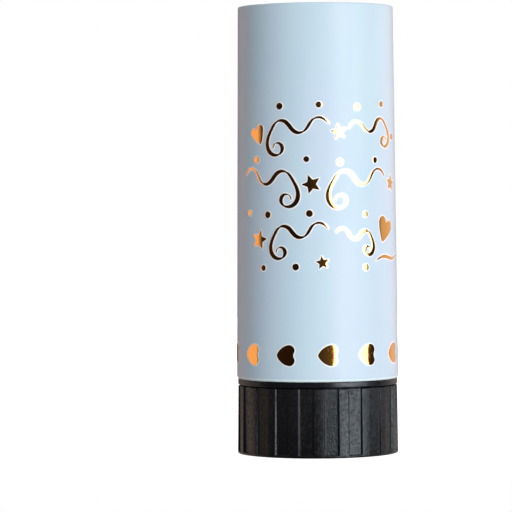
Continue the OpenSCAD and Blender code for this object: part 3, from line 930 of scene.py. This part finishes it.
def sector(r_in, r_out, start, end, low, high):
    """Closed block between two radii, two heights and two angles counted from +X."""
    loop = rounded([(r_in, low, 0), (r_out, low, 0), (r_out, high, 0.1), (r_in, high, 0.1)])
    turns = np.linspace(start, end, 25)[:, None] + 90
    r = np.broadcast_to(loop[:, 0], (len(turns), len(loop)))
    return pinched(round_axis(turns, r, loop[:, 1])), False, True


def grip_turns():
    """Turns round the grip, close together on the slopes and corners of its ribs."""
    pitch = 2 * np.pi * GRIP_TOP_R / RIBS
    top_half = (pitch * RIB_SHARE - RIB_SLOPE) / 2
    slope_shares = np.array([-0.24, -0.12, 0, 0.12, 0.24, 0.5, 0.76, 0.88, 1, 1.12, 1.24])
    near = top_half + RIB_SLOPE * slope_shares
    half = np.concatenate([[RIB_MIDDLE_HALF], near, np.linspace(near[-1], pitch / 2, 5)[1:-1]])
    spots = np.concatenate([[0], half, [pitch / 2], pitch - half[::-1]])
    turns = spots[None] / pitch + np.arange(RIBS)[:, None]
    return turns.ravel() * 360 / RIBS + RIB_TURN, pitch, top_half


def rib_profile(turns, pitch, top_half):
    """0 on a rib and 1 in a recess, a straight slope with rounded corners between, and the turn
    from the middle of the recess in degrees."""
    from_rib = np.abs((turns - RIB_TURN + 180 / RIBS) % (360 / RIBS) - 180 / RIBS)
    share = ramp((from_rib / 360 * RIBS * pitch - top_half) / RIB_SLOPE, RIB_SOFT_SHARE)
    return share, 180 / RIBS - from_rib


def oval(turns):
    """Radius of the key's oval section: a round with two flats across Y."""
    return np.minimum(KEY_R, KEY_T / 2 / np.maximum(np.abs(wave(turns)[1]), 0.01))


def twist_grip():
    """The grip's section as one loop (key hole, hollow, foot, side, rim, snap bead, floor) carried
    round the axis. Its side takes the ribs: the radius goes to the flat floor of a recess,
    floor / cos(turn from the recess), by the rib profile and a ramp at the recess's two ends."""
    section = rounded([
        (KEY_R, FOOT_HOLLOW_H + KEY_HEAD_T, 0),
        (KEY_HEAD_R, FOOT_HOLLOW_H + KEY_HEAD_T, 0),
        (KEY_HEAD_R, FOOT_HOLLOW_H, 0.12),
        (FOOT_HOLLOW_R, FOOT_HOLLOW_H, 0.3),
        (FOOT_HOLLOW_R, 0, 0.15),
        (GRIP_FOOT_R, 0, 0.4),
        (GRIP_TOP_R, GRIP_H, 0.14),
        (GRIP_BORE_R, GRIP_H, 0.15),
        (GRIP_BORE_R, BEAD_Z + BEAD_H, 0.1),
        (GRIP_BORE_R - BEAD_REACH, BEAD_Z + BEAD_H / 2, 0.2),
        (GRIP_BORE_R, BEAD_Z, 0.1),
        (GRIP_BORE_R, GRIP_FLOOR_Z, 0.4),
        (KEY_R, GRIP_FLOOR_Z, 0),
    ])
    rim = np.argmax(section[:, 1] > GRIP_H - RIM_H)
    low = section[rim - 1]
    high = section[rim]
    ends = np.array([FOOT_BAND, GRIP_H + RECESS_OVERRUN])
    run_out_shares = np.array([-1, -0.5, 0, 0.5, 1, 1.5, 2])
    near = RECESS_RUN_OUT * run_out_shares
    levels = np.concatenate([ends[0] + near, np.linspace(SIDE_LOW_Z, SIDE_HIGH_Z, 10),
                             ends[1] - near[::-1]])
    side = np.stack([np.interp(levels, [low[1], high[1]], [low[0], high[0]]), levels], axis=1)
    section = np.vstack([section[:rim], side[(side[:, 1] > low[1]) & (side[:, 1] < high[1])],
                         section[rim:]])
    turns, pitch, top_half = grip_turns()
    ribs, from_recess = rib_profile(turns, pitch, top_half)
    r, z = section[None, :, 0], section[None, :, 1]
    outside = r > GRIP_TOP_R - SIDE_T
    ends_share = (ramp((z - ends[0]) / RECESS_RUN_OUT, RUN_OUT_SOFT_SHARE)
                  * ramp((ends[1] - z) / RECESS_RUN_OUT, RUN_OUT_SOFT_SHARE))
    floor = RECESS_FLOOR_R / wave(from_recess)[1][:, None]
    sunk = np.where(outside, ribs[:, None] * ends_share * (r - floor), 0)
    r = np.where(r < KEY_R + 0.01, oval(turns)[:, None], r - sunk)
    lug = sector(LUG_IN_R, LUG_OUT_R, LUG_TURN, LUG_TURN + LUG_DEG,
                 GRIP_FLOOR_Z - SUNK, GRIP_FLOOR_Z + LUG_OVERLAP)
    skins = [(round_axis(turns[:, None], r, z), True, True), lug, turn_arrow()]
    piece("twist_grip_skin", skins, GRIP_BLACK, "twist_base",
          ["twist_grip"], 50.0)


def turn_arrow():
    """Raised curved arrow under the grip: a stroke along an arc, first a band and then a head."""
    middle = (FOOT_HOLLOW_R + KEY_HEAD_R) / 2
    width = (FOOT_HOLLOW_R - KEY_HEAD_R) * ARROW_W_SHARE
    head = np.degrees(ARROW_HEAD_SHARE * width / middle)
    head_half = ARROW_HEAD_HALF_SHARE * width
    at = np.concatenate([np.linspace(ARROW_DEG, 0, ARROW_POINTS), [0], np.linspace(0, -head, 8)])
    half = np.concatenate([np.full(ARROW_POINTS, width / 2), [head_half],
                           np.linspace(head_half, ARROW_TIP_HALF, 8)])
    across_shares = np.array([-1, -1, -0.85, 0.85, 1, 1])
    drop_shares = np.array([-0.1, 0.75, 1, 1, 0.75, -0.1])
    r = middle + half[:, None] * across_shares
    z = FOOT_HOLLOW_H - np.broadcast_to(FOOT_HOLLOW_H / 3 * drop_shares, r.shape)
    return pinched(round_axis(at[:, None] + 90, r, z)), False, True


def spring_seat():
    """The seat's section as one loop (floor, neck with its groove, smooth band, plug with its glue
    groove, well) carried round the axis, and two stop lugs."""
    section = rounded([
        (SEAT_HOLE_R, SEAT_FLOOR_Z, 0.15),
        (NECK_R, SEAT_FLOOR_Z, 0.4),
        (NECK_R, BEAD_Z - GROOVE_PLAY, 0),
        (NECK_R - GROOVE_DEPTH, BEAD_Z - GROOVE_PLAY, 0.1),
        (NECK_R - GROOVE_DEPTH, BEAD_Z + BEAD_H + GROOVE_PLAY, 0.1),
        (NECK_R, BEAD_Z + BEAD_H + GROOVE_PLAY, 0),
        (NECK_R, COLLAR_Z, 0.1),
        (COLLAR_R, COLLAR_Z, 0.2),
        (COLLAR_R, FOOT_Z, 0.25),
        (BORE_R, FOOT_Z, 0.05),
        (BORE_R, glue_low[2], 0),
        (BORE_R - GLUE_DEPTH, glue_low[2], 0.1),
        (BORE_R - GLUE_DEPTH, glue_high[2], 0.1),
        (BORE_R, glue_high[2], 0),
        (BORE_R, PLUG_TOP_Z, 0.1),
        (SLEEVE_R, PLUG_TOP_Z, 0.1),
        (SLEEVE_R, FOOT_Z, 0.2),
        (WELL_R, FOOT_Z, 0.2),
        (WELL_R, WELL_Z, 0.4),
        (SEAT_HOLE_R, WELL_Z, 0.15),
    ])
    turns = np.arange(360.0)[:, None]
    r = np.broadcast_to(section[:, 0], (len(turns), len(section)))
    skins = [(round_axis(turns, r, section[:, 1]), True, True)]
    for start in (-LUG_DEG - LUG_PLAY_DEG, TWIST_DEG + LUG_DEG + LUG_PLAY_DEG):
        skins.append(sector(LUG_IN_R, LUG_OUT_R, LUG_TURN + start, LUG_TURN + start + LUG_DEG,
                            SEAT_FLOOR_Z - LUG_OVERLAP, SEAT_FLOOR_Z + SUNK))
    piece("spring_seat_skin", skins, SEAT_BLACK, "barrel", ["spring_seat"])


def main_spring():
    """Round wire along a helix whose rise swings about its mean, least at both ends, so that the
    end turns lie closer; the wire's ring lies in the plane through the axis."""
    steps = POINTS_PER_TURN * SPRING_TURNS
    t = np.linspace(0, 1, steps + 1)
    low, high = spring_low[2] + WIRE_R, spring_high[2] - WIRE_R
    z = low + (high - low) * (t - SPRING_SWING_SHARE * np.sin(2 * np.pi * t) / (2 * np.pi))
    s, c = wave(np.linspace(0, 360, WIRE_SIDES, endpoint=False))
    r = SPRING_R + WIRE_R * np.broadcast_to(c, (len(t), len(c)))
    turns = 360 * SPRING_TURNS * t[:, None] + 90
    grid = round_axis(turns, r, z[:, None] + WIRE_R * s)
    piece("main_spring_wire", [(pinched(grid), False, True)], WIRE,
          "barrel", ["main_spring"])


# Charge and lid

def slips():
    """Each stack is a set of thin upright slips. A slip's section, a flat rounded loop, is carried
    up its height; it bows by a slow wave that the whole stack shares and a faint one of its own."""
    dice = np.random.default_rng(7)
    least = [0, -SLIP_SHIFT, 0]
    most = [SLIP_SHORTEST_BY, SLIP_SHIFT, SLIP_PHASE]
    x_shares = np.concatenate([np.linspace(-1, 1, SLIP_POINTS), np.linspace(1, -1, SLIP_POINTS)])
    sides = np.repeat([-1, 1], SLIP_POINTS)
    for node, slot, tint in TISSUES:
        stack_low, stack_high = reach(node)
        pitch = (stack_high[1] - stack_low[1]) / SLIPS_PER_STACK
        x = x_shares * (stack_high[0] - SLIP_SIDE_PLAY)
        y = sides * pitch * SLIP_HALF_T_SHARE
        skins = []
        for n in range(SLIPS_PER_STACK):
            short, shift, phase = dice.uniform(least, most)
            z = np.linspace(stack_low[2] + SUNK, stack_high[2] - short, SLIP_LEVELS)[:, None]
            own = OWN_BOW_SHARE * pitch * np.sin(z / 4 + phase + x_shares)
            shared = (STACK_BOW * np.sin(z / 11 + 0.6 * x_shares)
                      * np.sin(np.pi * (z - stack_low[2]) / STACK_BOW_H))
            middle = stack_low[1] + (n + 0.5) * pitch
            grid = np.stack([
                np.broadcast_to(x + shift, own.shape),
                middle + y + own + shared,
                np.broadcast_to(z, own.shape),
            ], axis=-1)
            skins.append((pinched(grid), False, True))
        piece(node + "_sheets", skins, tint, "piston", [node])


def lid():
    """Card disc with rounded edges, and the foil paper on it: rings whose height takes a faint
    crumple, the sum of three crossed sines, that fades at the rim."""
    turns = np.arange(0, 360, 2.0)[:, None]
    edge = rounded([
        (0, lid_low[2], 0),
        (LID_R, lid_low[2], LID_EDGE),
        (LID_R, lid_high[2], LID_EDGE),
        (0, lid_high[2], 0),
    ])
    r = np.broadcast_to(edge[:, 0], (len(turns), len(edge)))
    piece("mouth_lid_card", [(round_axis(turns, r, edge[:, 1]), True, False)], CARD,
          "lid", ["mouth_lid"])
    low, high = facing_low[2], facing_high[2]
    edge_in, edge_down = np.array(FACING_EDGE).T
    out = np.linspace(0, LID_R - edge_in[0], FACING_RINGS)
    radii = np.concatenate([out, LID_R - edge_in[1:], [LID_R, 0]])
    heights = np.concatenate([np.full(len(out), high), high - edge_down[1:], [low, low]])
    r = np.broadcast_to(radii, (len(turns), len(radii)))
    grid = round_axis(turns, r, heights)
    px, py = grid[..., 0], grid[..., 1]
    crumple = (np.sin(px * 0.9 + py * 0.5 + 1) + np.sin(py * 1.3 - px * 0.4)
               + np.sin(px * 0.35 - py * 1.7 + 2)) / 3
    fade_share = 1 - eased(r, LID_R * CRUMPLED_SHARE, out[-1])
    on_top = np.arange(len(radii)) < len(out)
    grid[..., 2] += CRUMPLE * (crumple - 1) * (fade_share * on_top)
    piece("lid_facing_foil", [(grid, True, False)], LID_FOIL, "lid", ["lid_facing"])


# Pieces whose solids show as they are

def dress(node, made):
    """Gives a node of the frame its finish."""
    shown = frame["nodes"][node]
    shown.data.materials.clear()
    shown.data.materials.append(made)


dress("paper_tube", KRAFT)
dress("inner_sleeve", SLEEVE_PAPER)
dress("glue_bead", GLUE)
dress("catch_claws", CLAW_NATURAL)
dress("release_key", KEY_GREY)
dress("piston_cup", CUP_WHITE)
dress("wad_disc", CARD)
printed_wrap()
foil_print()
twist_grip()
spring_seat()
main_spring()
slips()
lid()


# Floor, light and camera

def floor():
    """Flat pale floor, a plain grid. Seen by the camera it is lifted to white, but for the shadow;
    gloss looks through it, at the studio's walls."""
    x = np.linspace(-FLOOR_HALF, FLOOR_HALF, FLOOR_POINTS)
    y = np.linspace(FLOOR_FRONT, FLOOR_BACK, FLOOR_POINTS)
    across, along = np.meshgrid(x, y, indexing="ij")
    grid = np.stack([across, along, np.zeros_like(across)], axis=-1)
    faces = quads(FLOOR_POINTS, FLOOR_POINTS, False, False)[:, ::-1]
    mesh = bpy.data.meshes.new("floor")
    mesh.from_pydata(grid.reshape(-1, 3).tolist(), [], faces.tolist())
    material = bpy.data.materials.new("pale_floor")
    material.use_nodes = True
    f = Finish(material.node_tree)
    tone = f.mix(f.noise(40.0, 2.0), (0.66, 0.66, 0.66), (0.68, 0.68, 0.68))
    plain = f.node("BsdfDiffuse", {}, {"Color": tone})
    seen, clear = f.rays("Camera", "Transmission")
    strength = FLOOR_LIFT * (seen + clear)
    lifted = f.node("Emission", {}, {"Color": (1, 1, 1, 1), "Strength": strength})
    f.node("OutputMaterial", {}, {"Surface": f.node("AddShader", {}, {0: plain, 1: lifted})})
    mesh.materials.append(material)
    made = bpy.data.objects.new("floor", mesh)
    made.visible_glossy = False
    bpy.context.collection.objects.link(made)


def world():
    """The studio's walls: white to the camera. Gloss sees them by compass direction, dark where
    the camera stands and pale behind the object's two sides; the rest gets an even grey light."""
    made = bpy.data.worlds.new("studio")
    bpy.context.scene.world = made
    made.use_nodes = True
    f = Finish(made.node_tree)
    east, north, up = f.axes(f.node("TexCoord", out="Generated"))
    compass = f.node("Math", {"operation": "ARCTAN2"}, {0: east, 1: north * -1.0})
    share = compass * (1 / (2 * np.pi)) + 0.5
    stops = [((compass_deg + 180) / 360, tone) for compass_deg, tone in WALLS]
    seen_in_gloss = f.node("ValToRGB", {"stops": stops}, {0: share})
    seen_in_gloss = f.mix(up.above(0.6, 0.85), seen_in_gloss, (1.0, 1.0, 1.0))
    seen, gloss, clear = f.rays("Camera", "Glossy", "Transmission")
    gloss_or_clear = f.node("Math", {"operation": "MAXIMUM"}, {0: gloss, 1: clear})
    light = f.mix(gloss_or_clear, EVEN_LIGHT, seen_in_gloss)
    light = f.mix(seen, light, (1, 1, 1))
    f.node("OutputWorld", {}, {"Surface": f.node("Background", {}, {"Color": light})})


def lamp(name, compass, distance, height, size, radiance, colour=(1, 1, 1), aim_z=None,
         gloss=False):
    """Soft rectangular lamp in a compass direction, sizes in metres, aimed level or at a height of
    the axis; it is seen either in gloss or in plain shading."""
    data = bpy.data.lights.new(name, "AREA")
    data.shape = "RECTANGLE"
    data.size, data.size_y = size
    data.energy = radiance * np.pi * size[0] * size[1]
    data.color = colour
    made = bpy.data.objects.new(name, data)
    s, c = wave(compass)
    made.location = (distance * s, -distance * c, height)
    aim = Vector((0, 0, height if aim_z is None else aim_z)) - made.location
    made.rotation_euler = aim.to_track_quat("-Z", "Y").to_euler()
    made.visible_camera = False
    made.visible_glossy = gloss
    made.visible_diffuse = not gloss
    bpy.context.collection.objects.link(made)


def camera():
    """Camera of the picture: before the object, aimed left of it and a little down, with a slight
    roll."""
    data = bpy.data.cameras.new("camera")
    data.sensor_width = SENSOR_W
    data.lens = SENSOR_W * FOCAL_PX / PICTURE_PX
    made = bpy.data.objects.new("camera", data)
    bpy.context.collection.objects.link(made)
    aim = Vector((-np.tan(np.radians(YAW)), 1.0, -np.tan(np.radians(PITCH))))
    turned = aim.to_track_quat("-Z", "Y").to_matrix() @ Matrix.Rotation(np.radians(ROLL), 3, "Z")
    made.matrix_world = Matrix.Translation((0, -CAMERA_AWAY, CAMERA_H)) @ turned.to_4x4()
    bpy.context.scene.camera = made


floor()
world()
lamp("main", 25, 0.9, 0.10, (0.35, 0.5), 12.0, colour=(1.0, 0.97, 1.0))
lamp("softbox", 45, 0.5, 0.12, (0.27, 0.42), 6.0, colour=(0.9, 0.97, 1.0), gloss=True)
lamp("surround", 49, 0.52, 0.12, (0.507, 0.42), 6.5, colour=(0.78, 0.91, 1.0), gloss=True)
lamp("bounce", 20, 0.3, -0.16, (0.3, 0.2), 0.6, aim_z=0.02)
lamp("right", 124, 0.8, 0.1, (0.3, 0.5), 10.0, colour=(1.0, 0.71, 0.64))
lamp("left", -138, 0.8, 0.1, (0.3, 0.5), 6.5, colour=(1.0, 0.52, 0.50))
lamp("back", 180, 0.8, 0.3, (0.4, 0.6), 2.6)
lamp("top", 30, 0.02, 0.65, (0.12, 0.12), 12.0, aim_z=0.1)
camera()
bpy.context.scene.view_settings.view_transform = "Standard"
